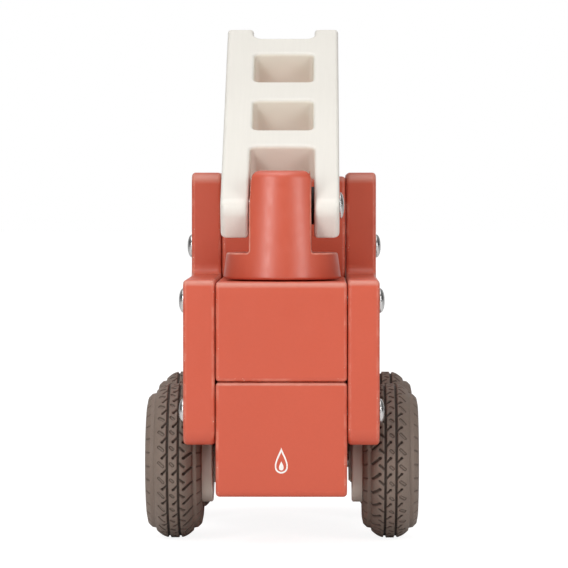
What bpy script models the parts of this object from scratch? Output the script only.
"""Wooden toy fire engine with rolling wheels, a turning turret and a tilting ladder.

The frame stands on the ground under the middle of the truck: +Y is forward, +X is the truck's
right side and +Z is up. All lengths are in metres.
"""

import math

import bmesh
import bpy
from mathutils import Matrix, Vector

GAP = 0.0003  # left between pieces that touch, and all round a shank in its hole
LEFT_RIGHT = {"left": -1, "right": 1}

# Centre blocks, between the side boards
BLOCK_HALF_WIDTH = 0.029
REAR = -0.104
FRONT = 0.104
CHASSIS_BOTTOM = 0.0227
SEAM = 0.0735
DECK_TOP = 0.1176
CAB_BACK = 0.0
CAB_WALL = 0.030
CAB_TOP = 0.1645
ROOF_BOTTOM = 0.1525
BONNET_TOP = 0.112
BONNET_FRONT = 0.102
BIG_ROUNDING = 0.003
BONNET_ROUNDING = 0.006
EDGE_ROUNDING = 0.0012

# Side boards
BOARD_THICKNESS = 0.014
BOARD_INNER = BLOCK_HALF_WIDTH + GAP
BOARD_OUTER = BOARD_INNER + BOARD_THICKNESS
BOARD_BOTTOM = 0.0454
BOARD_DECK_TOP = 0.1185
BOARD_CAB_TOP = 0.1663
BOARD_FOOT_ROUNDING = 0.0075
STEP_ROUNDING = 0.005
CAB_CORNER_ROUNDING = 0.0055
BROW_ROUNDING = 0.010
ROOF_FRONT = 0.084
WINDOW_REAR = 0.036
WINDOW_BOTTOM = 0.120
WINDOW_TOP = 0.150
WINDOW_POST = 0.013
WINDOW_ROUNDING = 0.004
ARCH_RADIUS = 0.038
ARCH_STEPS = 12

# Domed steel screws that hold the side boards, as (y, z)
SCREWS = {
    "rear_low": (-0.090, 0.0599),
    "rear_high": (-0.086, 0.1089),
    "cab_rear": (0.015, 0.1316),
    "front_low": (0.090, 0.0599),
    "front_high": (0.088, 0.1000),
}
SCREW_HEAD_RADIUS = 0.0055
SCREW_HEAD_HEIGHT = 0.0022
SCREW_RADIUS = 0.002
SCREW_LENGTH = 0.030

# Headlights, set into the front of the bonnet
HEADLIGHT_RADIUS = 0.0085
HEADLIGHT_THICKNESS = 0.0057
HEADLIGHT_X = 0.018
HEADLIGHT_Z = 0.092

# Wheels
AXLE_HEIGHT = 0.035
WHEELBASE = 0.104
HALF_TRACK = 0.0487
TYRE_RADIUS = 0.035
TYRE_HALF_WIDTH = 0.0127
BEAD_RADIUS = 0.021
RIB_RADIUS = 0.0228
RIB_HALF_WIDTH = 0.006
HUB_DISC_RADIUS = 0.01875
HUB_DISC_STANDS = 0.0046
HUB_BOSS_RADIUS = 0.0092
HUB_BOSS_STANDS = 0.00145
HUB_FACE_DEPTH = 0.0012
HUB_DISH_DEPTH = 0.0040
HUB_SEAT_DEPTH = 0.0022
AXLE_RADIUS = 0.003
AXLE_HALF_LENGTH = 0.0588
CAP_RADIUS = 0.006

# Turret
TURRET_Y = -0.072
DISC_BOTTOM = 0.1182
DISC_TOP = 0.1295
DISC_RADIUS = 0.02655
POST_TOP = 0.1667
POST_TOP_RADIUS = 0.0200
POST_TOP_ROUNDING = 0.0036
NECK_LEFT_TOP = -0.0136
NECK_LEFT = -0.0142
NECK_RIGHT = 0.0131
THRUST_WASHER_RADIUS = 0.011
THRUST_WASHER_RECESS = 0.0015
TURRET_BOLT_RADIUS = 0.003
TURRET_BOLT_TOP = 0.136
TURRET_BOLT_HEAD_RADIUS = 0.0065
TURRET_BOLT_HEAD = (0.0750, 0.0795)
TURRET_BOLT_RECESS = (0.008, 0.0815)
INSERT_RADIUS = 0.005
INSERT = (0.1215, 0.1335)

# Ladder, measured along its length from the pivot; its right rail is the narrower one
PIVOT_Z = 0.1511
LADDER_TILT = math.radians(32.4)
LADDER_LEFT = -0.0274
LADDER_RIGHT = 0.0257
LADDER_HALF_THICKNESS = 0.009
LEFT_RAIL_INNER = -0.0148
RIGHT_RAIL_INNER = 0.0144
LADDER_FOOT = -0.014
FOOT_ROUNDING = 0.003
SLOT_END = 0.0355
LADDER_WINDOWS = ((0.0512, 0.0763), (0.0945, 0.1196))
LADDER_WINDOW_ROUNDING = 0.0022
NOTCH_BOTTOM = 0.1354
NOTCH_ROUNDING = 0.0045
LADDER_END = 0.1441
PIVOT_BOLT_RADIUS = 0.003
PIVOT_HEAD_RADIUS = 0.0060
PIVOT_HEAD_HEIGHT = 0.0019
PIVOT_INSERT_RADIUS = 0.0045
PIVOT_INSERT_LENGTH = 0.0085
LADDER_WASHER_RADIUS = 0.0086
LADDER_WASHER_THICKNESS = 0.0007

# Sides of the round pieces
SCREW_SIDES = 12
BOLT_SIDES = 16
HUB_SIDES = 24
WHEEL_SIDES = 32

# Name, colour, roughness and metallic value of each finish
FINISHES = {
    "red": ("red paint", (0.62, 0.125, 0.075, 1.0), 0.42, 0.0),
    "white": ("off-white paint", (0.84, 0.80, 0.71, 1.0), 0.45, 0.0),
    "rubber": ("taupe rubber", (0.135, 0.105, 0.085, 1.0), 0.72, 0.0),
    "cream": ("cream hub", (0.66, 0.58, 0.48, 1.0), 0.50, 0.0),
    "steel": ("polished steel", (0.62, 0.61, 0.60, 1.0), 0.22, 1.0),
    "brass": ("brass", (0.60, 0.43, 0.17, 1.0), 0.30, 1.0),
    "nylon": ("nylon", (0.75, 0.74, 0.70, 1.0), 0.50, 0.0),
    "black": ("black nylon", (0.015, 0.015, 0.015, 1.0), 0.50, 0.0),
}
SMOOTH_ANGLE = math.radians(32)
BEVEL_ANGLE = math.radians(40)


def clear_scene():
    for obj in list(bpy.data.objects):
        bpy.data.objects.remove(obj, do_unlink=True)


def make_finish(name, colour, roughness, metallic):
    material = bpy.data.materials.new(name)
    material.use_nodes = True
    shader = material.node_tree.nodes["Principled BSDF"]
    shader.inputs["Base Color"].default_value = colour
    shader.inputs["Roughness"].default_value = roughness
    shader.inputs["Metallic"].default_value = metallic
    return material


def add_object(name, bm, material=None, parent=None):
    """Puts a finished bmesh in the scene as one object with its faces pointing out."""
    bmesh.ops.recalc_face_normals(bm, faces=bm.faces)
    mesh = bpy.data.meshes.new(name)
    bm.to_mesh(mesh)
    bm.free()
    mesh.shade_smooth()
    mesh.set_sharp_from_angle(angle=SMOOTH_ANGLE)
    if material is not None:
        mesh.materials.append(material)
    obj = bpy.data.objects.new(name, mesh)
    bpy.context.scene.collection.objects.link(obj)
    obj.parent = parent
    return obj


def add_pivot(name, location, parent=None, tilt=0.0):
    """An empty on a joint's axis; the moving pieces are its children."""
    pivot = bpy.data.objects.new(name, None)
    pivot.empty_display_size = AXLE_HEIGHT
    pivot.location = location
    pivot.rotation_euler = (tilt, 0.0, 0.0)
    pivot.parent = parent
    bpy.context.scene.collection.objects.link(pivot)
    return pivot


def aim(obj, direction, location):
    """Lays a turned piece's own Z axis along a direction."""
    obj.rotation_mode = "QUATERNION"
    obj.rotation_quaternion = Vector((0, 0, 1)).rotation_difference(Vector(direction))
    obj.location = location


def rounded_outline(corners, steps=4):
    """A closed outline from corners (a, b, radius); each radius becomes an arc of a few points."""
    points = []
    for index, (a, b, radius) in enumerate(corners):
        corner = Vector((a, b))
        if radius == 0.0:
            points.append(corner)
            continue
        before = Vector(corners[index - 1][:2]) - corner
        after = Vector(corners[(index + 1) % len(corners)][:2]) - corner
        before.normalize()
        after.normalize()
        half_angle = before.angle(after) / 2
        centre = corner + (before + after).normalized() * (radius / math.sin(half_angle))
        first = corner + before * (radius / math.tan(half_angle)) - centre
        sweep = math.pi - 2 * half_angle
        if before.cross(after) > 0:
            sweep = -sweep
        for step in range(steps + 1):
            points.append(centre + Matrix.Rotation(sweep * step / steps, 2) @ first)
    return points


def plate(outline, low, high, across="X"):
    """A prism from low to high along one axis, with an outline of (y, z), (x, z) or (x, y)."""
    place = {
        "X": lambda a, b: (low, a, b),
        "Y": lambda a, b: (a, low, b),
        "Z": lambda a, b: (a, b, low),
    }[across]
    shift = Vector([high - low if axis == across else 0.0 for axis in "XYZ"])
    bm = bmesh.new()
    face = bm.faces.new([bm.verts.new(place(a, b)) for a, b in outline])
    made = bmesh.ops.extrude_face_region(bm, geom=[face])
    moved = [item for item in made["geom"] if isinstance(item, bmesh.types.BMVert)]
    bmesh.ops.translate(bm, vec=shift, verts=moved)
    return bm


def turned(profile, sides, closed=False):
    """Spins a profile of (radius, height) about Z. A closed profile makes a ring."""
    bm = bmesh.new()
    verts = [bm.verts.new((radius, 0.0, height)) for radius, height in profile]
    pairs = list(zip(verts, verts[1:]))
    if closed:
        pairs.append((verts[-1], verts[0]))
    edges = [bm.edges.new(pair) for pair in pairs]
    bmesh.ops.spin(
        bm, geom=verts + edges, cent=(0, 0, 0), axis=(0, 0, 1), angle=math.tau, steps=sides, use_merge=True
    )
    bmesh.ops.remove_doubles(bm, verts=bm.verts, dist=0.000001)
    return bm


def ring(inner, outer, thickness, sides):
    """A flat washer or a sleeve, standing on height 0."""
    profile = [(outer, thickness), (outer, 0.0), (inner, 0.0), (inner, thickness)]
    return turned(profile, sides, closed=True)


def dome(radius, height, steps=3):
    """The profile of a domed head from its crown down to its rim at height 0."""
    angles = [math.pi / 2 * step / steps for step in range(steps + 1)]
    return [(radius * math.sin(angle), height * math.cos(angle)) for angle in angles]


def domed_bolt(head_radius, head_height, shank_radius, shank_length):
    """The profile of a domed head above height 0 with a plain shank below it."""
    shank = [(shank_radius, 0.0), (shank_radius, -shank_length), (0.0, -shank_length)]
    return dome(head_radius, head_height) + shank


def round_edges(obj, width=EDGE_ROUNDING):
    bevel = obj.modifiers.new("rounded edges", "BEVEL")
    bevel.width = width
    bevel.segments = 1
    bevel.limit_method = "ANGLE"
    bevel.angle_limit = BEVEL_ANGLE


def add_cutter(name, bm, parent=None):
    cutter = add_object(name, bm, parent=parent)
    cutter.hide_render = True
    cutter.display_type = "WIRE"
    return cutter


def cut(obj, cutter):
    modifier = obj.modifiers.new("cut", "BOOLEAN")
    modifier.operation = "DIFFERENCE"
    modifier.solver = "EXACT"
    modifier.object = cutter


def drill(obj, radius, start, end, sides=BOLT_SIDES):
    """Cuts a round hole between two points, given in the frame of the object's parent."""
    start, end = Vector(start), Vector(end)
    half = (end - start).length / 2
    rod = turned([(0.0, half), (radius, half), (radius, -half), (0.0, -half)], sides)
    cutter = add_cutter(f"{obj.name}_hole_{len(obj.modifiers)}", rod, obj.parent)
    aim(cutter, end - start, (start + end) / 2)
    cut(obj, cutter)


def centre_block(name, corners, material):
    """A block between the side boards, from its outline seen from the side."""
    obj = add_object(name, plate(rounded_outline(corners), -BLOCK_HALF_WIDTH, BLOCK_HALF_WIDTH), material)
    round_edges(obj)
    return obj


def chassis_block(red):
    """The lower block, which both axles run through."""
    top = SEAM - GAP / 2
    obj = centre_block(
        "chassis_block",
        [
            (REAR, CHASSIS_BOTTOM, BIG_ROUNDING),
            (FRONT, CHASSIS_BOTTOM, BIG_ROUNDING),
            (FRONT, top, 0.0),
            (REAR, top, 0.0),
        ],
        red,
    )
    for y in (-WHEELBASE / 2, WHEELBASE / 2):
        drill(obj, AXLE_RADIUS + GAP, (-BOARD_OUTER, y, AXLE_HEIGHT), (BOARD_OUTER, y, AXLE_HEIGHT))
    return obj


def deck_block(red):
    """The block under the turret, with a hole for the turret's bolt and a recess for its head."""
    bottom = SEAM + GAP / 2
    obj = centre_block(
        "deck_block",
        [
            (REAR, bottom, 0.0),
            (CAB_BACK - GAP, bottom, 0.0),
            (CAB_BACK - GAP, DECK_TOP, 0.0),
            (REAR, DECK_TOP, BIG_ROUNDING),
        ],
        red,
    )
    recess_radius, recess_top = TURRET_BOLT_RECESS
    drill(obj, TURRET_BOLT_RADIUS + GAP, (0, TURRET_Y, CHASSIS_BOTTOM), (0, TURRET_Y, DISC_TOP))
    drill(obj, recess_radius, (0, TURRET_Y, CHASSIS_BOTTOM), (0, TURRET_Y, recess_top))
    return obj


def cab_wall(red):
    return centre_block(
        "cab_rear_block",
        [
            (CAB_BACK, SEAM + GAP / 2, 0.0),
            (CAB_WALL, SEAM + GAP / 2, 0.0),
            (CAB_WALL, CAB_TOP, 0.0),
            (CAB_BACK, CAB_TOP, BIG_ROUNDING),
        ],
        red,
    )


def bonnet(red):
    """The block in front of the cab's wall, with a seat for each headlight."""
    obj = centre_block(
        "cab_front_block",
        [
            (CAB_WALL + GAP, SEAM + GAP / 2, 0.0),
            (BONNET_FRONT, SEAM + GAP / 2, 0.0),
            (BONNET_FRONT, BONNET_TOP, BONNET_ROUNDING),
            (CAB_WALL + GAP, BONNET_TOP, 0.0),
        ],
        red,
    )
    seat = FRONT - HEADLIGHT_THICKNESS - GAP
    for side in LEFT_RIGHT.values():
        x = side * HEADLIGHT_X
        drill(obj, HEADLIGHT_RADIUS + GAP, (x, seat, HEADLIGHT_Z), (x, FRONT, HEADLIGHT_Z), HUB_SIDES)
    return obj


def roof(red):
    brow = ROOF_FRONT + 0.003
    return centre_block(
        "cab_roof_block",
        [
            (CAB_WALL + GAP, ROOF_BOTTOM, 0.0),
            (brow, ROOF_BOTTOM, EDGE_ROUNDING),
            (ROOF_FRONT, CAB_TOP, STEP_ROUNDING),
            (CAB_WALL + GAP, CAB_TOP, 0.0),
        ],
        red,
    )


def arch_points(centre_y):
    """A wheel arch as corners on an arc about the axle, from the board's bottom edge and back to it."""
    start = math.asin((BOARD_BOTTOM - AXLE_HEIGHT) / ARCH_RADIUS)
    corners = []
    for step in range(ARCH_STEPS + 1):
        angle = math.pi - start - (math.pi - 2 * start) * step / ARCH_STEPS
        y = centre_y + ARCH_RADIUS * math.cos(angle)
        z = AXLE_HEIGHT + ARCH_RADIUS * math.sin(angle)
        corners.append((y, z, 0.0))
    return corners


def window_edge(z):
    """How far forward a side window reaches at a height, keeping its front post's width."""
    slope = (FRONT - ROOF_FRONT) / (BOARD_CAB_TOP - BONNET_TOP)
    return FRONT - (z - BONNET_TOP) * slope - WINDOW_POST


def side_board(name, side, red):
    """One stepped board: low beside the deck, high beside the cab, with two wheel arches."""
    outline = rounded_outline(
        [
            (REAR, BOARD_BOTTOM, BOARD_FOOT_ROUNDING),
            *arch_points(-WHEELBASE / 2),
            *arch_points(WHEELBASE / 2),
            (FRONT, BOARD_BOTTOM, BOARD_FOOT_ROUNDING),
            (FRONT, BONNET_TOP, BROW_ROUNDING),
            (ROOF_FRONT, BOARD_CAB_TOP, BROW_ROUNDING),
            (CAB_BACK, BOARD_CAB_TOP, CAB_CORNER_ROUNDING),
            (CAB_BACK, BOARD_DECK_TOP, STEP_ROUNDING),
            (REAR, BOARD_DECK_TOP, BIG_ROUNDING),
        ]
    )
    window = rounded_outline(
        [
            (WINDOW_REAR, WINDOW_BOTTOM, WINDOW_ROUNDING),
            (window_edge(WINDOW_BOTTOM), WINDOW_BOTTOM, WINDOW_ROUNDING),
            (window_edge(WINDOW_TOP), WINDOW_TOP, WINDOW_ROUNDING),
            (WINDOW_REAR, WINDOW_TOP, WINDOW_ROUNDING),
        ]
    )
    low, high = sorted((side * BOARD_INNER, side * BOARD_OUTER))
    obj = add_object(name, plate(outline, low, high), red)
    cut(obj, add_cutter(f"{name}_window", plate(window, low - BOARD_THICKNESS, high + BOARD_THICKNESS)))
    round_edges(obj)
    return obj


def side_screws(boards, blocks, steel):
    """Domed screws through each board into the block behind it, in their own clearance holes."""
    head_seat = BOARD_OUTER + GAP
    tip = head_seat - SCREW_LENGTH - GAP
    profile = domed_bolt(SCREW_HEAD_RADIUS, SCREW_HEAD_HEIGHT, SCREW_RADIUS, SCREW_LENGTH)
    for word, side in LEFT_RIGHT.items():
        for place, (y, z) in SCREWS.items():
            screw = add_object(f"{word}_screw_{place}", turned(profile, SCREW_SIDES), steel)
            aim(screw, (side, 0, 0), (side * head_seat, y, z))
            outer = (side * (head_seat + BOARD_THICKNESS), y, z)
            for pierced in (boards[word], blocks[place]):
                drill(pierced, SCREW_RADIUS + GAP, (side * tip, y, z), outer, SCREW_SIDES)


def headlights(white):
    """Two turned discs with softened rims, flush with the front of the side boards."""
    radius = HEADLIGHT_RADIUS
    rim = 0.001
    profile = [
        (0.0, 0.0),
        (radius - rim, -rim / 2),
        (radius, -2 * rim),
        (radius, -HEADLIGHT_THICKNESS),
        (0.0, -HEADLIGHT_THICKNESS),
    ]
    for word, side in LEFT_RIGHT.items():
        lamp = add_object(f"{word}_headlight", turned(profile, HUB_SIDES), white)
        aim(lamp, (0, 1, 0), (side * HEADLIGHT_X, FRONT, HEADLIGHT_Z))


def turret_profile():
    """Half the turret's section: a steep cone, recessed underneath for the thrust washer."""
    taper = (DISC_RADIUS - POST_TOP_RADIUS) / (POST_TOP - DISC_BOTTOM)
    crown = POST_TOP_RADIUS + taper * POST_TOP_ROUNDING
    soft = POST_TOP_ROUNDING
    recess_top = DISC_BOTTOM + THRUST_WASHER_RECESS
    return [
        (0.0, POST_TOP),
        (crown - soft, POST_TOP),
        (crown - soft * 0.5, POST_TOP - soft * 0.134),
        (crown - soft * 0.134, POST_TOP - soft * 0.5),
        (crown, POST_TOP - soft),
        (DISC_RADIUS - taper * (DISC_TOP - DISC_BOTTOM), DISC_TOP),
        (DISC_RADIUS, DISC_BOTTOM + EDGE_ROUNDING),
        (DISC_RADIUS - EDGE_ROUNDING, DISC_BOTTOM),
        (THRUST_WASHER_RADIUS + GAP, DISC_BOTTOM),
        (THRUST_WASHER_RADIUS + GAP, recess_top),
        (0.0, recess_top),
    ]


def neck_waste(top, foot):
    """What is cut from one side of the post: a flat face, rounded over at the top.

    The flat runs from x = top at the crown to x = foot at the pivot, and straight down from there.
    """
    side = math.copysign(1.0, foot)
    far = side * 2 * DISC_RADIUS
    above = POST_TOP + 2 * DISC_RADIUS
    start = top - side * POST_TOP_ROUNDING
    outline = [(start, above)]
    for step in range(4):
        angle = math.pi / 2 * step / 3
        across = start + side * POST_TOP_ROUNDING * math.sin(angle)
        outline.append((across, POST_TOP - POST_TOP_ROUNDING * (1 - math.cos(angle))))
    if top != foot:
        outline.append((foot, PIVOT_Z))
    outline += [(foot, DISC_TOP), (far, DISC_TOP), (far, above)]
    return plate(outline, -abs(far), abs(far), "Y")


def turret(finishes):
    """A turned cone whose upper part is flattened on both sides to carry the ladder's fork."""
    pivot = add_pivot("turret_axis", (0.0, TURRET_Y, 0.0))
    post = add_object("turret_post", turned(turret_profile(), WHEEL_SIDES), finishes["red"], pivot)
    reach = 2 * DISC_RADIUS
    cut(post, add_cutter("left_neck_waste", neck_waste(NECK_LEFT_TOP, NECK_LEFT), pivot))
    cut(post, add_cutter("right_neck_waste", neck_waste(NECK_RIGHT, NECK_RIGHT), pivot))
    round_edges(post, EDGE_ROUNDING * 2 / 3)
    shank = TURRET_BOLT_RADIUS + GAP
    drill(post, INSERT_RADIUS + GAP, (0, 0, SEAM), (0, 0, INSERT[1] + GAP))
    drill(post, shank, (0, 0, SEAM), (0, 0, TURRET_BOLT_TOP + GAP))
    drill(post, PIVOT_BOLT_RADIUS + GAP, (-reach, 0, PIVOT_Z), (reach, 0, PIVOT_Z))

    insert = ring(shank, INSERT_RADIUS, INSERT[1] - INSERT[0], BOLT_SIDES)
    add_object("turret_insert", insert, finishes["brass"], pivot).location.z = INSERT[0]
    washer_bottom = DECK_TOP + GAP
    washer_top = DISC_BOTTOM + THRUST_WASHER_RECESS - GAP
    washer = ring(shank, THRUST_WASHER_RADIUS, washer_top - washer_bottom, HUB_SIDES)
    add_object("turret_washer", washer, finishes["nylon"], pivot).location.z = washer_bottom
    head_bottom, head_top = TURRET_BOLT_HEAD
    bolt = [
        (0.0, TURRET_BOLT_TOP),
        (TURRET_BOLT_RADIUS, TURRET_BOLT_TOP),
        (TURRET_BOLT_RADIUS, head_top),
        (TURRET_BOLT_HEAD_RADIUS, head_top),
        (TURRET_BOLT_HEAD_RADIUS, head_bottom),
        (0.0, head_bottom),
    ]
    add_object("turret_bolt", turned(bolt, BOLT_SIDES), finishes["steel"], pivot)
    return pivot


def ladder_board(pivot, white):
    """A thick board with a fork at its foot, two windows and a notched end."""
    left, right = LADDER_LEFT, LADDER_RIGHT
    left_inner, right_inner = LEFT_RAIL_INNER, RIGHT_RAIL_INNER
    depth = LADDER_HALF_THICKNESS
    outline = rounded_outline(
        [
            (left, LADDER_FOOT, FOOT_ROUNDING),
            (left_inner, LADDER_FOOT, 0.0),
            (left_inner, SLOT_END, FOOT_ROUNDING),
            (right_inner, SLOT_END, FOOT_ROUNDING),
            (right_inner, LADDER_FOOT, 0.0),
            (right, LADDER_FOOT, FOOT_ROUNDING),
            (right, LADDER_END, 0.0),
            (right_inner, LADDER_END, 0.0),
            (right_inner, NOTCH_BOTTOM, NOTCH_ROUNDING),
            (left_inner, NOTCH_BOTTOM, NOTCH_ROUNDING),
            (left_inner, LADDER_END, 0.0),
            (left, LADDER_END, 0.0),
        ]
    )
    board = add_object("ladder", plate(outline, -depth, depth, "Z"), white, pivot)
    for index, (start, end) in enumerate(LADDER_WINDOWS):
        corners = [(left_inner, start), (right_inner, start), (right_inner, end), (left_inner, end)]
        window = rounded_outline([(*corner, LADDER_WINDOW_ROUNDING) for corner in corners], steps=3)
        cut(board, add_cutter(f"ladder_window_{index}", plate(window, -2 * depth, 2 * depth, "Z"), pivot))
    round_edges(board)
    floor = left_inner - PIVOT_INSERT_LENGTH - GAP
    drill(board, PIVOT_BOLT_RADIUS + GAP, (0, 0, 0), (2 * right, 0, 0))
    drill(board, PIVOT_INSERT_RADIUS + GAP, (floor, 0, 0), (0, 0, 0))


def ladder(finishes, turret_pivot):
    """The ladder, its bolt from the right, a threaded insert in the left rail and a washer."""
    pivot = add_pivot("ladder_axis", (0, 0, PIVOT_Z), turret_pivot, LADDER_TILT)
    ladder_board(pivot, finishes["white"])
    seat = LADDER_RIGHT + GAP
    tip = LEFT_RAIL_INNER - PIVOT_INSERT_LENGTH + GAP
    profile = domed_bolt(PIVOT_HEAD_RADIUS, PIVOT_HEAD_HEIGHT, PIVOT_BOLT_RADIUS, seat - tip)
    bolt = add_object("ladder_bolt", turned(profile, BOLT_SIDES), finishes["steel"], pivot)
    aim(bolt, (1, 0, 0), (seat, 0, 0))

    bore = PIVOT_BOLT_RADIUS + GAP
    sleeve = ring(bore, PIVOT_INSERT_RADIUS, PIVOT_INSERT_LENGTH, BOLT_SIDES)
    insert = add_object("ladder_insert", sleeve, finishes["brass"], pivot)
    aim(insert, (-1, 0, 0), (LEFT_RAIL_INNER, 0, 0))

    disc = ring(bore, LADDER_WASHER_RADIUS, LADDER_WASHER_THICKNESS, BOLT_SIDES)
    washer = add_object("ladder_washer", disc, finishes["black"], pivot)
    aim(washer, (1, 0, 0), (NECK_RIGHT + GAP, 0, 0))


def tyre_profile():
    """A ring's section as (radius, offset): bead, sidewall, shoulder and a crowned tread."""
    half = [
        (RIB_RADIUS, RIB_HALF_WIDTH),
        (BEAD_RADIUS, RIB_HALF_WIDTH + 2 * GAP),
        (BEAD_RADIUS, TYRE_HALF_WIDTH - 0.0012),
        (0.0255, TYRE_HALF_WIDTH),
        (0.0288, 0.0119),
        (0.0304, 0.0092),
        (0.0317, 0.0083),
        (0.0340, 0.0057),
        (TYRE_RADIUS, 0.0026),
    ]
    return half + [(radius, -offset) for radius, offset in reversed(half)]


def hub_profile():
    """The hub's section, inboard face down: a raised disc and a boss inboard, a dish outboard."""
    bore = AXLE_RADIUS + GAP
    rib = RIB_RADIUS - GAP
    bead = BEAD_RADIUS - GAP
    inboard = -TYRE_HALF_WIDTH + HUB_FACE_DEPTH
    disc = -TYRE_HALF_WIDTH - HUB_DISC_STANDS
    boss = disc - HUB_BOSS_STANDS
    face = TYRE_HALF_WIDTH - HUB_FACE_DEPTH
    return [
        (bore, boss),
        (HUB_BOSS_RADIUS, boss),
        (HUB_BOSS_RADIUS, disc),
        (HUB_DISC_RADIUS, disc),
        (HUB_DISC_RADIUS, inboard),
        (bead, inboard),
        (bead, -RIB_HALF_WIDTH - 2 * GAP),
        (rib, -RIB_HALF_WIDTH + GAP),
        (rib, RIB_HALF_WIDTH - GAP),
        (bead, RIB_HALF_WIDTH + 2 * GAP),
        (bead, face),
        (0.0180, face),
        (0.0168, face - HUB_DISH_DEPTH + 0.001),
        (0.0100, face - HUB_DISH_DEPTH),
        (HUB_BOSS_RADIUS, face - HUB_SEAT_DEPTH),
        (bore, face - HUB_SEAT_DEPTH),
    ]


def cap_profile(base):
    """A domed push-on cap over the axle's end, its open side at height 0, which lies at x = base."""
    bore = AXLE_RADIUS + GAP
    floor = AXLE_HALF_LENGTH - base + GAP
    top = HALF_TRACK + TYRE_HALF_WIDTH - base - GAP
    rim = 0.0007
    crown = [(radius, rim + height) for radius, height in dome(CAP_RADIUS, top - rim)]
    return crown + [(CAP_RADIUS, 0.0), (bore, 0.0), (bore, floor), (0.0, floor)]


def wheelset(name, y, finishes):
    """One axle with a hub, a tyre and a cap at each end, turning together in the chassis block."""
    pivot = add_pivot(f"{name}_axle_line", (0.0, y, AXLE_HEIGHT))
    end = AXLE_HALF_LENGTH
    profile = [(0.0, end), (AXLE_RADIUS, end), (AXLE_RADIUS, -end), (0.0, -end)]
    axle = add_object(f"{name}_axle", turned(profile, BOLT_SIDES), finishes["steel"], pivot)
    aim(axle, (1, 0, 0), (0, 0, 0))
    cap_base = HALF_TRACK + TYRE_HALF_WIDTH - HUB_FACE_DEPTH - HUB_SEAT_DEPTH + GAP
    for word, side in LEFT_RIGHT.items():
        pieces = {
            "tyre": (turned(tyre_profile(), WHEEL_SIDES, closed=True), "rubber", HALF_TRACK),
            "hub": (turned(hub_profile(), HUB_SIDES, closed=True), "cream", HALF_TRACK),
            "axle_cap": (turned(cap_profile(cap_base), BOLT_SIDES), "steel", cap_base),
        }
        for piece, (bm, finish, x) in pieces.items():
            obj = add_object(f"{name}_{word}_{piece}", bm, finishes[finish], pivot)
            aim(obj, (side, 0, 0), (side * x, 0, 0))


def main():
    clear_scene()
    finishes = {key: make_finish(*values) for key, values in FINISHES.items()}
    red = finishes["red"]
    chassis = chassis_block(red)
    deck = deck_block(red)
    wall = cab_wall(red)
    front = bonnet(red)
    roof(red)
    boards = {word: side_board(f"{word}_side_board", side, red) for word, side in LEFT_RIGHT.items()}
    blocks = {
        "rear_low": chassis,
        "rear_high": deck,
        "cab_rear": wall,
        "front_low": chassis,
        "front_high": front,
    }
    side_screws(boards, blocks, finishes["steel"])
    headlights(finishes["white"])
    turret_pivot = turret(finishes)
    ladder(finishes, turret_pivot)
    wheelset("rear", -WHEELBASE / 2, finishes)
    wheelset("front", WHEELBASE / 2, finishes)


main()
